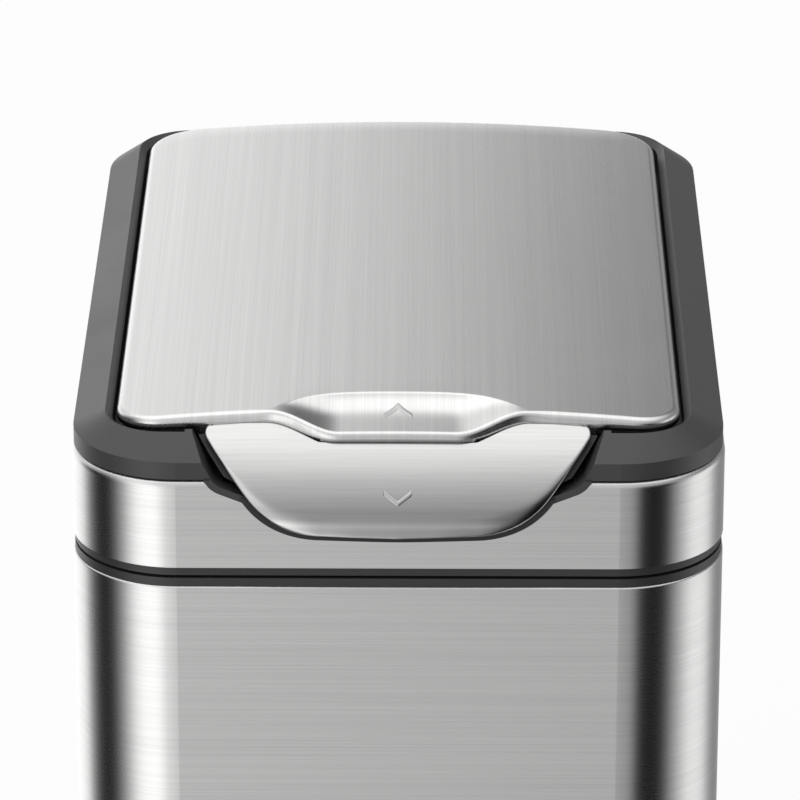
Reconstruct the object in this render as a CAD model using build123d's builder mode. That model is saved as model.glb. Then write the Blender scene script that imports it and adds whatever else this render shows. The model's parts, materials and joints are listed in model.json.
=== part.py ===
"""Push top countertop bin: steel body, lift-off head with a push lever and a sprung lid, inner bucket.

Millimetres. +X is right, +Y is to the rear, +Z is up. The origin is on the counter, under the middle of
the body. The front, with the push lever, faces -Y.
"""

import os
from math import cos, radians, sin, tan

from build123d import *

os.makedirs("parts", exist_ok=True)

# ---------------------------------------------------------------- driving dimensions
# Body and overall plan
width = 200.0  # across the front
depth = 290.0  # front to back
corner_radius = 33.0  # vertical corners of the steel body
sheet = 0.8  # steel sheet of the body and the band
wall = 2.2  # wall of the moulded parts
body_top = 215.3  # top edge of the steel body above the counter
clearance = 0.3  # between parts that do not touch
overlap = 0.5  # how far the shapes that make up one piece run into each other
run_out = 1.0  # how far a cut runs past what it cuts
web_tuck = 0.1  # a web's corner lies this far inside the round knuckle or boss that it carries

# Base and foot ring
foot_height = 1.5  # how far the foot ring stands proud of the base
foot_width = 7.0
foot_groove = 1.0  # how deep the foot ring sits in the base
foot_setback = 1.0  # foot ring behind the plinth's face
base_inset = 1.5  # base plinth behind the body's face
plinth_height = 4.5
base_flange = 5.8  # turned-in lip at the bottom of the body
snap_lip = 1.2  # lip of the base over that flange
base_neck = 8.0  # height of the base's upstand inside the body

# Parting line between body and head
ring_inset = 0.5  # plastic strips behind the steel face
body_strip = 2.7  # strip on top of the body
groove = 1.0  # dark groove between the two strips
groove_depth = 2.0
head_strip = 2.6  # strip under the band
hem_height = 3.0  # folded hem at the top of the body
hem_edge_radius = 0.64
ring_inner_inset = 4.6  # inner face of the body's top ring
ring_skirt = 15.3  # how far the top ring reaches down into the body
ledge_inset = 9.0  # inner edge of the ledge that carries the bucket
ledge_drop = 9.0  # ledge below the parting line
ledge_thickness = 2.5

# Inner bucket and its bail
bucket_wall = 1.8
bucket_floor = 2.2
bucket_top_inset = 10.0  # bucket wall behind the body's face, at the top
bucket_bottom_inset = 14.0
bucket_bottom = 14.0  # height of the bucket's underside
flange_thickness = 2.0
flange_gap = 0.5  # flange inside the body's top ring
bail_wire = 4.0  # diameter
bail_side_inset = 15.5  # legs in from the body's sides
bail_rear_inset = 9.0  # cross wire in from the body's rear
bail_corner = 20.0
bail_bend = 4.0  # bend from the leg into the pivot end
bail_stub = 0.8  # pivot end outside its lug
lug_length = 10.0
lug_edge_gap = 2.9  # lug's outer face behind the bucket flange's edge
lug_bend_gap = 0.1  # lug clear of the bail's bend
pin_clearance = 0.08  # radial, in every pivot hole

# Head: steel band and moulded frame
band_height = 28.4
band_edge_radius = 2.4  # rolled top edge of the band
band_lip = 3.0  # width of the band's turned-in top
frame_inset = 3.3  # frame's hidden wall behind the band
rim_inset = 0.67
rim_gap = 0.3  # shadow gap between band and rim
rim_wall = 5.8  # upright part of the rim above the band
rim_slope_height = 6.0
rim_slope_width = 10.0
rim_bevel_width = 2.2
rim_bevel_height = 2.0
ridge_radius = 18.0  # corners of the rim's ridge
well_radius = 15.8  # corners of the well that the lid lies in
well_depth = 9.8  # floor round the mouth, below the ridge
locating_skirt = 6.0  # reaches down into the body's top ring
locating_wall = 1.6

# Mouth, in from the body's faces
mouth_side_margin = 22.0
mouth_front_margin = 35.0
mouth_rear_margin = 37.0
mouth_radius = 16.0
mouth_bucket_gap = 3.0  # mouth's lower edge above the bucket's flange
collar_height = 4.0  # raised edge of the mouth that the seal lands on
collar_flange = 2.5  # rests on the well's floor
collar_flange_thickness = 1.2

# Lid
lid_side_gap = 1.43  # between the lid and the well
lid_front_gap = 1.63
lid_rear_gap = 3.83
lid_front_radius = 14.0
lid_rear_radius = 17.0
lid_rise = 6.1  # top of the crown above the rim's ridge
lid_crown_radius = 840.0
lid_sheet = 0.8
lid_skirt_drop = 1.95  # lower edge of the lid below the ridge
lid_edge_radius = 1.4
liner_gap = 0.15
liner_wall = 1.6
liner_floor = 2.0
seal_width = 3.0

# Finger scoop in the lid's front edge
scoop_half_width = 40.2
scoop_length = 13.8  # from the lid's front edge to the back of the scoop
scoop_depth = 5.0  # lip below the crown
scoop_lip_run = 2.0  # the floor's slope starts this far in front of the lip
scoop_rise = 0.1  # slope of the scoop floor, front to back
scoop_corner = 23.0
scoop_lean = 45.0  # slope of the scoop's rear wall, from upright
lip_reach = 7.0  # lip in front of the lid's front edge
lip_half_width = 18.0

# Lid hinge
hinge_setback = 6.3  # axis in front of the lid's rear edge
hinge_rise = 9.5  # axis above the well's floor
hinge_pin = 3.0  # diameter
knuckle_radius = 3.5
knuckle_start = 30.0
knuckle_length = 7.0
knuckle_gap = 0.4
knuckle_web_step = 1.0  # web of a knuckle above the liner's floor
bracket_thickness = 4.0
bracket_length = 9.0  # front face in front of the axis
bracket_foot = 6.0
bracket_shoulder = 2.0  # top of the front face below the knuckle
bracket_room = 2.0  # round the brackets, in the liner
spring_length = 9.0
spring_wire = 1.0
damper_length = 24.0
damper_shaft_radius = 1.5
damper_key_length = 3.0
damper_bore_start = 2.0
bumper_side_inset = 13.7  # axis in from the lid's side
bumper_front_inset = 8.5  # and from its front edge
bumper_radius = 3.5

# Push lever: the side curve runs from under the lid down in front of the band
lever_top_setback = 13.4  # start of the curve behind the body's face
lever_top_rise = 1.7  # and above the rim's ridge
lever_curve_radius = 53.0
lever_start_angle = 32.0  # slope at the top
lever_end_angle = 64.0  # slope where the curve tightens into the roll
lever_roll_radius = 16.0
lever_drop = 15.3  # lower edge below the band's top
lever_bow_radius = 1200.0  # slight forward bow across the front
lever_bow_angle = 3.3  # each side of the middle, wider than the lever
lever_bottom_half_width = 37.2
lever_top_half_width = 61.6
lever_outline_rise = 1.0  # top of the outline above the start of the curve
lever_lower_corner = 29.0
lever_upper_corner = 2.5
lever_bottom_sag = 0.9
lever_bottom_bend = 300.0
lever_sheet = 0.8
lever_flange = 2.4  # depth of the steel edge in front of the carrier
carrier_thickness = 2.0
carrier_peek = 2.2  # carrier below the steel
skin_gap = 0.05  # glue line between the steel and the carrier
lever_lid_gap = 0.7
lever_press_room = 2.4  # room under the lever for its travel
lever_press_gap = 0.8  # lever in front of the band, where it hangs over it
lever_ridge_gap = 5.0  # lever passes over the recess's front edge this far below the ridge

# Recess in the head for the lever
recess_side_gap = 1.9  # beside the lever, at the top
recess_foot_gap = 0.8  # beside the lever, at the bottom
recess_shoulder_step = 8.1  # shoulder in from the recess's top
recess_shoulder_drop = 1.2  # shoulder below the band's top
recess_drop = 8.2  # bottom below the band's top
recess_rise = 2.6  # top above the rim's ridge
recess_fillet = 7.0
recess_lining = 2.0
recess_depth = 26.8  # from the body's face to the wall behind the lever
pocket_setback = 6.0  # pocket's front wall behind the body's face
pocket_depth = 12.5  # below the well's floor
pocket_side_gap = 2.0  # beside the pivot ribs

# Lever pivot
pivot_setback = 19.0  # axis behind the body's face
pivot_drop = 6.0  # axis below the well's floor
pivot_pin = 3.0  # diameter
pivot_pin_end = 1.0  # pin outside the ribs
pivot_boss_radius = 3.3
pivot_arm_start = 40.0
pivot_arm_width = 5.0
arm_root_setback = 3.0  # lower front corner of an arm behind the body's face
arm_root_rise = 4.5  # and above the pivot's axis
arm_top_setback = 11.0
arm_lid_gap = 2.0  # arm below the lid's lower edge
pivot_rib_gap = 3.0  # between an arm and its rib
pivot_rib_width = 3.0
pivot_rib_reach = 6.0  # in front of the axis
pivot_rib_rise = 4.0  # above the axis

# Finger bar of the lever, behind the pivot
finger_side_gap = 1.5
finger_width = 2.5
finger_rise = 0.6  # underside above the well's floor
finger_root = 2.0  # height where a finger leaves the carrier
finger_root_setback = 6.0
finger_top_setback = 13.0
finger_lid_gap = 2.5
finger_fall = 1.0  # from the top of a finger to its rear end
finger_heel_setback = 14.0
finger_heel_drop = 3.0
finger_heel_gap = 3.0  # heel in front of the wall behind the lever
finger_bar_reach = 1.3  # behind that wall's face
finger_bar_height = 1.6

# Latch: leaf spring on the head, striker under the lid
latch_width = 12.0
latch_sheet = 0.5
latch_tip_rise = 4.0  # tip above the well's floor
latch_tip_reach = 2.6
latch_foot_rise = 1.0  # foot above the pocket's floor
latch_screw_rise = 4.5
latch_screw_x = (-3.5, 3.5)
latch_overlap = 1.0  # tip over striker
striker_top_gap = 0.4
striker_sheet = 1.0
striker_width = 14.0
striker_reach = 3.1
striker_flange_inset = 6.5  # flange's front edge behind the lid's front edge
striker_screw_inset = 10.5
striker_screw_x = (-4.0, 4.0)

# Screws
screw_radius = 1.6
screw_head_radius = 3.2
screw_head_height = 1.6
screw_length = 14.0
screw_side_inset = 12.6  # side screws in from the body's face
screw_row_inset = 50.0  # their front and rear rows in from the ends
rear_screw_inset = 17.0
rear_screw_x = 50.0
small_screw_radius = 1.0
small_screw_head_radius = 1.9
small_screw_head_height = 0.9
small_screw_length = 4.0
screw_clearance = 0.05
boss_radius = 4.0
small_boss_radius = 3.0

# ---------------------------------------------------------------- derived places
half_width = width / 2
half_depth = depth / 2
front_face = -half_depth
base_bottom = foot_height
shell_bottom = base_bottom + plinth_height
parting = body_top + body_strip  # where the head sits on the body
band_bottom = parting + groove + head_strip
band_top = band_bottom + band_height
rim_bottom = band_top + rim_gap
rim_wall_top = band_top + rim_wall
ridge_z = rim_wall_top + rim_slope_height
ridge_inset = rim_inset + rim_slope_width
well_inset = ridge_inset + rim_bevel_width
well_floor = ridge_z - well_depth
cup_bottom = well_floor - wall

ledge_top = parting - ledge_drop
flange_top = ledge_top + flange_thickness
flange_inset = ring_inner_inset + flange_gap
bail_z = flange_top + bail_wire / 2 + clearance
bail_half_width = half_width - bail_side_inset
bail_reach = half_depth - bail_rear_inset

mouth_width = width - 2 * mouth_side_margin
mouth_front = front_face + mouth_front_margin
mouth_rear = half_depth - mouth_rear_margin
mouth_depth = mouth_rear - mouth_front
mouth_y = (mouth_rear + mouth_front) / 2
mouth_bottom = flange_top + mouth_bucket_gap
collar_top = well_floor + collar_height

lid_half_width = half_width - well_inset - lid_side_gap
lid_front = front_face + well_inset + lid_front_gap
lid_rear = half_depth - well_inset - lid_rear_gap
lid_top = ridge_z + lid_rise
lid_skirt_bottom = ridge_z - lid_skirt_drop
scoop_rear = lid_front + scoop_length
lip_front = lid_front - lip_reach
lip_top = lid_top - scoop_depth
liner_inset = lid_sheet + liner_gap
liner_bottom = lid_skirt_bottom + liner_gap

hinge_y = lid_rear - hinge_setback
hinge_z = well_floor + hinge_rise
bracket_front = hinge_y - bracket_length
bracket_outer_start = knuckle_start + knuckle_length + knuckle_gap
bracket_inner_start = knuckle_start - knuckle_gap - spring_length - knuckle_gap - bracket_thickness

recess_rear = front_face + recess_depth
recess_top_half_width = lever_top_half_width + recess_side_gap
recess_shoulder_half_width = recess_top_half_width - recess_shoulder_step
recess_bottom_half_width = lever_bottom_half_width + recess_foot_gap
recess_top = ridge_z + recess_rise
recess_shoulder_z = band_top - recess_shoulder_drop
recess_bottom = band_top - recess_drop
pivot_rib_start = pivot_arm_start + pivot_arm_width + pivot_rib_gap
pivot_y = front_face + pivot_setback
pivot_z = well_floor - pivot_drop
pocket_half_width = pivot_rib_start + pivot_rib_width + pocket_side_gap
pocket_front = front_face + pocket_setback
pocket_floor = well_floor - pocket_depth
latch_tip_z = well_floor + latch_tip_rise
latch_tip_rear = recess_rear + latch_tip_reach
latch_foot = pocket_floor + latch_foot_rise
latch_screw_z = pocket_floor + latch_screw_rise
striker_screw_y = lid_front + striker_screw_inset

screw_x = half_width - screw_side_inset
screw_row_y = half_depth - screw_row_inset
rear_screw_y = half_depth - rear_screw_inset
screw_places = [(x, y) for y in (-screw_row_y, 0, screw_row_y) for x in (-screw_x, screw_x)]
screw_places += [(-rear_screw_x, rear_screw_y), (rear_screw_x, rear_screw_y)]


# ---------------------------------------------------------------- shapes used more than once
def plan_block(inset, bottom, top, mode=Mode.ADD, radius=None):
    """Upright block with the body's plan, drawn in from the body's face by inset."""
    with BuildSketch(Plane.XY.offset(bottom)) as plan:
        RectangleRounded(width - 2 * inset, depth - 2 * inset, radius or corner_radius - inset)
    extrude(plan.sketch, amount=top - bottom, mode=mode)


def plan_taper(bottom_inset, bottom, top_inset, top, mode=Mode.ADD, bottom_radius=None, top_radius=None):
    """Tapered block between two insets of the body's plan."""
    with BuildSketch(Plane.XY.offset(bottom)) as lower:
        radius = bottom_radius or corner_radius - bottom_inset
        RectangleRounded(width - 2 * bottom_inset, depth - 2 * bottom_inset, radius)
    with BuildSketch(Plane.XY.offset(top)) as upper:
        radius = top_radius or corner_radius - top_inset
        RectangleRounded(width - 2 * top_inset, depth - 2 * top_inset, radius)
    loft([lower.sketch, upper.sketch], mode=mode)


def mouth_block(growth, bottom, top, mode=Mode.ADD):
    """Upright block with the mouth's plan, grown by growth."""
    with BuildSketch(Plane.XY.offset(bottom)) as plan:
        with Locations((0, mouth_y)):
            RectangleRounded(mouth_width + 2 * growth, mouth_depth + 2 * growth, mouth_radius + growth)
    extrude(plan.sketch, amount=top - bottom, mode=mode)


def side_plate(points, start_x, thickness, mode=Mode.ADD):
    """Plate cut from a closed outline of (y, z) points, from start_x towards +X."""
    with BuildSketch(Plane.YZ.offset(start_x)) as side:
        Polygon(*points, align=None)
    extrude(side.sketch, amount=thickness, mode=mode)


def cross_rod(y, z, radius, start_x, length, mode=Mode.ADD):
    """Round rod along X."""
    with BuildSketch(Plane.YZ.offset(start_x)) as section:
        with Locations((y, z)):
            Circle(radius)
    extrude(section.sketch, amount=length, mode=mode)


def upright_rod(x, y, radius, bottom, top, mode=Mode.ADD):
    """Round rod along Z."""
    with BuildSketch(Plane.XY.offset(bottom)) as section:
        with Locations((x, y)):
            Circle(radius)
    extrude(section.sketch, amount=top - bottom, mode=mode)


def rear_rod(x, z, radius, start_y, length, mode=Mode.ADD):
    """Round rod along Y, from start_y towards the rear."""
    with BuildSketch(Plane.XZ.offset(-start_y)) as section:
        with Locations((x, z)):
            Circle(radius)
    extrude(section.sketch, amount=-length, mode=mode)


def pin_hole(y, z, pin_radius, start_x, length):
    """Hole along X through a knuckle, boss or lug that spans start_x to start_x + length."""
    cross_rod(y, z, pin_radius, start_x - run_out, length + 2 * run_out, Mode.SUBTRACT)


def both_sides(start_x, length):
    """Start positions of a feature that spans start_x to start_x + length on the right and on the left."""
    return (start_x, -start_x - length)


def finish(builder, name):
    """Label a finished piece and write it."""
    builder.part.label = name
    export_step(builder.part, "parts/" + name + ".step")


# ---------------------------------------------------------------- base, foot ring and steel body
foot_inset = base_inset + foot_setback
with BuildPart() as foot_ring:
    plan_block(foot_inset, 0, foot_height + foot_groove)
    plan_block(foot_inset + foot_width, 0, foot_height + foot_groove, Mode.SUBTRACT)
finish(foot_ring, "foot_ring")

with BuildPart() as base_tray:
    plan_block(base_inset, base_bottom, shell_bottom)
    plan_block(sheet + base_flange + clearance, shell_bottom, shell_bottom + base_neck)
    plan_block(sheet + base_flange - snap_lip, shell_bottom + sheet, shell_bottom + sheet + snap_lip)
    plan_block(sheet + base_flange + wall, base_bottom + wall, shell_bottom + base_neck, Mode.SUBTRACT)
    plan_block(foot_inset, base_bottom, base_bottom + foot_groove, Mode.SUBTRACT)
    plan_block(foot_inset + foot_width, base_bottom, base_bottom + foot_groove)
finish(base_tray, "base_tray")

with BuildPart() as body_shell:
    plan_block(0, shell_bottom, body_top)
    plan_block(sheet, shell_bottom + sheet, body_top - hem_height, Mode.SUBTRACT)
    plan_block(2 * sheet, body_top - hem_height, body_top, Mode.SUBTRACT)
    plan_block(sheet + base_flange, shell_bottom, shell_bottom + sheet, Mode.SUBTRACT)
    top_edges = body_shell.faces().sort_by(Axis.Z)[-1].outer_wire().edges()
    fillet(top_edges, hem_edge_radius)
finish(body_shell, "body_shell")

with BuildPart() as body_top_ring:
    plan_block(ring_inset, body_top, parting)
    plan_block(2 * sheet + clearance, body_top - ring_skirt, body_top)
    plan_block(ring_inner_inset, ledge_top, parting, Mode.SUBTRACT)
    plan_block(ring_inner_inset, body_top - ring_skirt, ledge_top - ledge_thickness, Mode.SUBTRACT)
    plan_block(ledge_inset, body_top - ring_skirt, parting, Mode.SUBTRACT)
finish(body_top_ring, "body_top_ring")

# ---------------------------------------------------------------- inner bucket and bail
lug_outer = half_width - flange_inset - lug_edge_gap
lug_inner = bail_half_width + bail_bend + lug_bend_gap
with BuildPart() as inner_bucket:
    plan_taper(bucket_bottom_inset, bucket_bottom, bucket_top_inset, ledge_top)
    plan_block(flange_inset, ledge_top, flange_top)
    plan_taper(
        bucket_bottom_inset + bucket_wall, bucket_bottom + bucket_floor,
        bucket_top_inset + bucket_wall, ledge_top, Mode.SUBTRACT,
    )
    plan_block(bucket_top_inset + bucket_wall, ledge_top, flange_top, Mode.SUBTRACT)
    lug_width = lug_outer - lug_inner
    for lug_start in both_sides(lug_inner, lug_width):
        side_plate(
            (
                (-lug_length / 2, flange_top - overlap), (lug_length / 2, flange_top - overlap),
                (lug_length / 2, bail_z), (lug_length / 4, bail_z + bail_wire),
                (-lug_length / 4, bail_z + bail_wire), (-lug_length / 2, bail_z),
            ),
            lug_start, lug_width,
        )
        pin_hole(0, bail_z, bail_wire / 2 + pin_clearance, lug_start, lug_width)
finish(inner_bucket, "inner_bucket")

with BuildPart() as bucket_bail:
    bail_end = lug_outer + bail_stub
    with BuildLine(Plane.XY.offset(bail_z)) as bail_path:
        FilletPolyline(
            (-bail_end, 0), (-bail_half_width, 0), (-bail_half_width, bail_reach),
            (bail_half_width, bail_reach), (bail_half_width, 0), (bail_end, 0),
            radius=(bail_bend, bail_corner, bail_corner, bail_bend),
        )
    with BuildSketch(Plane(origin=(-bail_end, 0, bail_z), z_dir=(1, 0, 0))) as bail_section:
        Circle(bail_wire / 2)
    sweep(bail_section.sketch, path=bail_path.line)
finish(bucket_bail, "bucket_bail")

# ---------------------------------------------------------------- recess outline, in the front view
def recess_prism(growth, front, rear, mode=Mode.ADD):
    """The lever recess as a prism from front to rear, its outline grown by growth."""
    with BuildSketch(Plane.XZ.offset(-rear)) as outline:
        with BuildLine():
            FilletPolyline(
                (-recess_top_half_width, recess_top),
                (-recess_shoulder_half_width, recess_shoulder_z),
                (-recess_bottom_half_width, recess_bottom),
                (recess_bottom_half_width, recess_bottom),
                (recess_shoulder_half_width, recess_shoulder_z),
                (recess_top_half_width, recess_top),
                radius=recess_fillet,
            )
            Line((recess_top_half_width, recess_top), (-recess_top_half_width, recess_top))
        make_face()
        if growth:
            offset(amount=growth, kind=Kind.INTERSECTION)
    extrude(outline.sketch, amount=rear - front, mode=mode)


def frame_envelope():
    """The outer form of the head's frame, as one solid."""
    with BuildPart() as envelope:
        plan_block(frame_inset, band_bottom, rim_bottom)
        plan_block(rim_inset, rim_bottom, rim_wall_top)
        plan_taper(rim_inset, rim_wall_top, ridge_inset, ridge_z, top_radius=ridge_radius)
    return envelope.part


# ---------------------------------------------------------------- head: band, lower ring, frame
with BuildPart() as head_band:
    plan_block(0, band_bottom, band_top)
    band_edges = head_band.faces().sort_by(Axis.Z)[-1].outer_wire().edges()
    fillet(band_edges, band_edge_radius)
    with BuildPart(mode=Mode.PRIVATE) as band_hollow:
        plan_block(sheet, band_bottom, band_top - sheet)
        hollow_edges = band_hollow.faces().sort_by(Axis.Z)[-1].outer_wire().edges()
        fillet(hollow_edges, band_edge_radius - sheet)
    add(band_hollow.part, mode=Mode.SUBTRACT)
    plan_block(band_lip, band_top - sheet, band_top, Mode.SUBTRACT)
    recess_prism(
        recess_lining + clearance / 2, front_face - run_out, front_face + band_lip + run_out, Mode.SUBTRACT
    )
finish(head_band, "head_band")

with BuildPart() as head_lower_ring:
    plan_block(ring_inset, parting + groove, band_bottom)
    plan_block(ring_inset + groove_depth, parting, parting + groove)
    plan_block(ring_inner_inset + clearance, parting - locating_skirt, parting)
    skirt_inner = ring_inner_inset + clearance + locating_wall
    plan_block(skirt_inner, parting - locating_skirt, parting, Mode.SUBTRACT)
    mouth_block(wall + clearance, parting, band_bottom, Mode.SUBTRACT)
    head_room = parting + screw_head_height
    for x, y in screw_places:
        upright_rod(x, y, screw_radius + screw_clearance, parting, band_bottom, Mode.SUBTRACT)
        upright_rod(x, y, screw_head_radius + screw_clearance, parting, head_room, Mode.SUBTRACT)
finish(head_lower_ring, "head_lower_ring")

envelope = frame_envelope()
with BuildPart() as lining:
    recess_prism(recess_lining, front_face, recess_rear + wall)
    with BuildSketch(Plane.XY.offset(pocket_floor - wall)) as pocket_plan:
        with Locations((0, (pocket_front + recess_rear) / 2)):
            Rectangle(2 * (pocket_half_width + wall), recess_rear - pocket_front + 2 * wall)
    extrude(pocket_plan.sketch, amount=well_floor - pocket_floor + wall)
    plan_block(0, pocket_floor - wall, rim_bottom, Mode.INTERSECT)
with BuildPart() as rim_lining:
    recess_prism(recess_lining, front_face, front_face + well_inset)
    add(envelope, mode=Mode.INTERSECT)

knuckle_tuck = knuckle_radius - web_tuck
bracket_starts = both_sides(bracket_outer_start, bracket_thickness)
bracket_starts += both_sides(bracket_inner_start, bracket_thickness)
hinge_bracket = (
    (bracket_front, well_floor - overlap), (bracket_front + bracket_foot, well_floor - overlap),
    (hinge_y - overlap, hinge_z - knuckle_tuck), (hinge_y, hinge_z), (hinge_y - knuckle_tuck, hinge_z),
    (bracket_front, hinge_z - knuckle_radius - bracket_shoulder),
)
rib_front = pivot_y - pivot_rib_reach
pivot_rib = (
    (rib_front, pocket_floor - overlap), (recess_rear + overlap, pocket_floor - overlap),
    (recess_rear + overlap, pivot_z + pivot_rib_rise),
    (pivot_y - pivot_rib_reach / 2, pivot_z + pivot_rib_rise), (rib_front, pivot_z),
)
with BuildPart() as head_frame:
    add(envelope)
    plan_block(frame_inset + wall, band_bottom, ridge_z - rim_slope_height / 2 - wall, Mode.SUBTRACT)
    plan_block(ridge_inset, cup_bottom, ridge_z, radius=ridge_radius)
    plan_block(well_inset, well_floor, ridge_z, Mode.SUBTRACT, well_radius)
    plan_taper(
        well_inset, ridge_z - rim_bevel_height, ridge_inset, ridge_z, Mode.SUBTRACT, well_radius, ridge_radius
    )
    for x, y in screw_places:
        upright_rod(x, y, boss_radius, band_bottom, cup_bottom)
    add(lining.part)
    add(rim_lining.part)
    mouth_block(wall + clearance, mouth_bottom, ridge_z, Mode.SUBTRACT)
    recess_prism(0, front_face - run_out, recess_rear, Mode.SUBTRACT)
    with BuildSketch(Plane.XY.offset(pocket_floor)) as pocket:
        with Locations((0, (pocket_front + recess_rear) / 2)):
            Rectangle(2 * pocket_half_width, recess_rear - pocket_front)
    extrude(pocket.sketch, amount=well_floor - pocket_floor, mode=Mode.SUBTRACT)
    screw_hole_top = parting + screw_length + run_out
    for x, y in screw_places:
        upright_rod(x, y, screw_radius + screw_clearance, band_bottom, screw_hole_top, Mode.SUBTRACT)
    for start in both_sides(pivot_rib_start, pivot_rib_width):
        side_plate(pivot_rib, start, pivot_rib_width)
        pin_hole(pivot_y, pivot_z, pivot_pin / 2 + pin_clearance, start, pivot_rib_width)
    for start in bracket_starts:
        side_plate(hinge_bracket, start, bracket_thickness)
        cross_rod(hinge_y, hinge_z, knuckle_radius, start, bracket_thickness)
        pin_hole(hinge_y, hinge_z, hinge_pin / 2 + pin_clearance, start, bracket_thickness)
    for x in latch_screw_x:
        rear_rod(
            x, latch_screw_z, small_screw_radius + screw_clearance,
            recess_rear - run_out, wall + 2 * run_out, Mode.SUBTRACT,
        )
finish(head_frame, "head_frame")

with BuildPart() as mouth_collar:
    mouth_block(wall, mouth_bottom, collar_top)
    mouth_block(wall + collar_flange, well_floor, well_floor + collar_flange_thickness)
    mouth_block(0, mouth_bottom, collar_top, Mode.SUBTRACT)
finish(mouth_collar, "mouth_collar")

with BuildPart() as head_screws:
    for x, y in screw_places:
        upright_rod(x, y, screw_radius, parting, parting + screw_length)
        upright_rod(x, y, screw_head_radius, parting, parting + screw_head_height)
finish(head_screws, "head_screws")

# ---------------------------------------------------------------- lid
def crown_height(x):
    """Height of the lid's crown at x from the middle."""
    return lid_top - lid_crown_radius + (lid_crown_radius**2 - x**2) ** 0.5


def lid_plan(growth):
    """The lid's plan with its finger lip, grown by growth."""
    with BuildSketch() as plan:
        with Locations((0, (lid_front + lid_rear) / 2)):
            Rectangle(2 * lid_half_width, lid_rear - lid_front)
        fillet(plan.vertices().group_by(Axis.Y)[0], lid_front_radius)
        fillet(plan.vertices().group_by(Axis.Y)[-1], lid_rear_radius)
        middle_x = (scoop_half_width + lip_half_width) / 2
        middle_y = (lid_front + lip_front) / 2
        with BuildLine():
            left_in = TangentArc((-scoop_half_width, lid_front), (-middle_x, middle_y), tangent=(1, 0))
            TangentArc((-middle_x, middle_y), (-lip_half_width, lip_front), tangent=left_in % 1)
            Line((-lip_half_width, lip_front), (lip_half_width, lip_front))
            right_out = TangentArc((scoop_half_width, lid_front), (middle_x, middle_y), tangent=(-1, 0))
            TangentArc((middle_x, middle_y), (lip_half_width, lip_front), tangent=right_out % 1)
            Line((scoop_half_width, lid_front), (-scoop_half_width, lid_front))
        make_face()
        if growth:
            offset(amount=growth, kind=Kind.ARC)
    return plan.sketch


def scoop_cutter(drop):
    """What the finger scoop takes out of the lid, with its wall and its floor moved down and out by drop."""
    start_y = lip_front - lip_reach
    corner_x = scoop_half_width - scoop_length
    start_x = scoop_half_width + lid_front - start_y
    lean = radians(scoop_lean)
    wall_height = (lid_top - lip_top - scoop_rise * (scoop_rear - lip_front)) / (1 - scoop_rise * tan(lean))
    foot_z = lid_top - drop - wall_height
    foot_growth = drop * (1 - sin(lean)) / cos(lean) - wall_height * tan(lean)
    ceiling = lid_top + scoop_depth
    start_drop = drop + scoop_rise * (lip_front - scoop_lip_run - start_y)
    side_z = crown_height(scoop_half_width) - start_drop
    floor_z = lip_top - start_drop
    middle_x = (scoop_half_width + lip_half_width) / 2
    middle_z = (side_z + floor_z) / 2
    outer_x = start_x + scoop_half_width
    with BuildPart() as cutter:
        with BuildSketch(Plane.XY.offset(foot_z)) as plan:
            with BuildLine():
                FilletPolyline(
                    (-start_x, start_y), (-corner_x, scoop_rear), (corner_x, scoop_rear), (start_x, start_y),
                    radius=scoop_corner,
                )
                Line((start_x, start_y), (-start_x, start_y))
            make_face()
            offset(amount=foot_growth, kind=Kind.ARC)
        extrude(plan.sketch, amount=ceiling - foot_z, taper=-scoop_lean)
        extrude(plan.sketch, amount=lid_skirt_bottom - scoop_depth - foot_z)
        with BuildSketch(Plane.XZ.offset(-start_y)) as floor:
            with BuildLine():
                left_down = TangentArc((-scoop_half_width, side_z), (-middle_x, middle_z), tangent=(1, 0))
                TangentArc((-middle_x, middle_z), (-lip_half_width, floor_z), tangent=left_down % 1)
                Line((-lip_half_width, floor_z), (lip_half_width, floor_z))
                right_down = TangentArc((scoop_half_width, side_z), (middle_x, middle_z), tangent=(-1, 0))
                TangentArc((middle_x, middle_z), (lip_half_width, floor_z), tangent=right_down % 1)
                Polyline(
                    (-scoop_half_width, side_z), (-outer_x, side_z), (-outer_x, ceiling),
                    (outer_x, ceiling), (outer_x, side_z), (scoop_half_width, side_z),
                )
            make_face()
        extrude(floor.sketch, amount=2 * (scoop_rear - start_y), dir=(0, 1, scoop_rise), mode=Mode.INTERSECT)
    return cutter.part


def lid_solid(plan_inset, drop, bottom):
    """The lid's outer form, drawn in by plan_inset, lowered by drop and cut off at bottom."""
    with BuildPart() as form:
        with BuildSketch(Plane.XY.offset(bottom)) as plan:
            add(lid_plan(-plan_inset))
        extrude(plan.sketch, amount=lid_top - bottom)
        edge_x = lid_half_width + run_out
        edge_z = crown_height(edge_x) - drop
        with BuildSketch(Plane.XZ.offset(-front_face)) as crown:
            with BuildLine():
                ThreePointArc((-edge_x, edge_z), (0, lid_top - drop), (edge_x, edge_z))
                Polyline((edge_x, edge_z), (edge_x, well_floor), (-edge_x, well_floor), (-edge_x, edge_z))
            make_face()
        extrude(crown.sketch, amount=-depth, mode=Mode.INTERSECT)
        add(scoop_cutter(drop), mode=Mode.SUBTRACT)
    return form.part


with BuildPart() as lid_panel:
    add(lid_solid(0, 0, lid_skirt_bottom))
    skirt_walls = [
        face for face in lid_panel.faces()
        if face.bounding_box().min.Z < lid_skirt_bottom + clearance < face.bounding_box().max.Z
    ]
    outer_edges = [
        edge for face in skirt_walls for edge in face.edges()
        if edge.bounding_box().min.Z > lid_skirt_bottom + clearance
    ]
    fillet(outer_edges, lid_edge_radius)
    add(lid_solid(lid_sheet, lid_sheet, lid_skirt_bottom - run_out), mode=Mode.SUBTRACT)
finish(lid_panel, "lid_panel")

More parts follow.
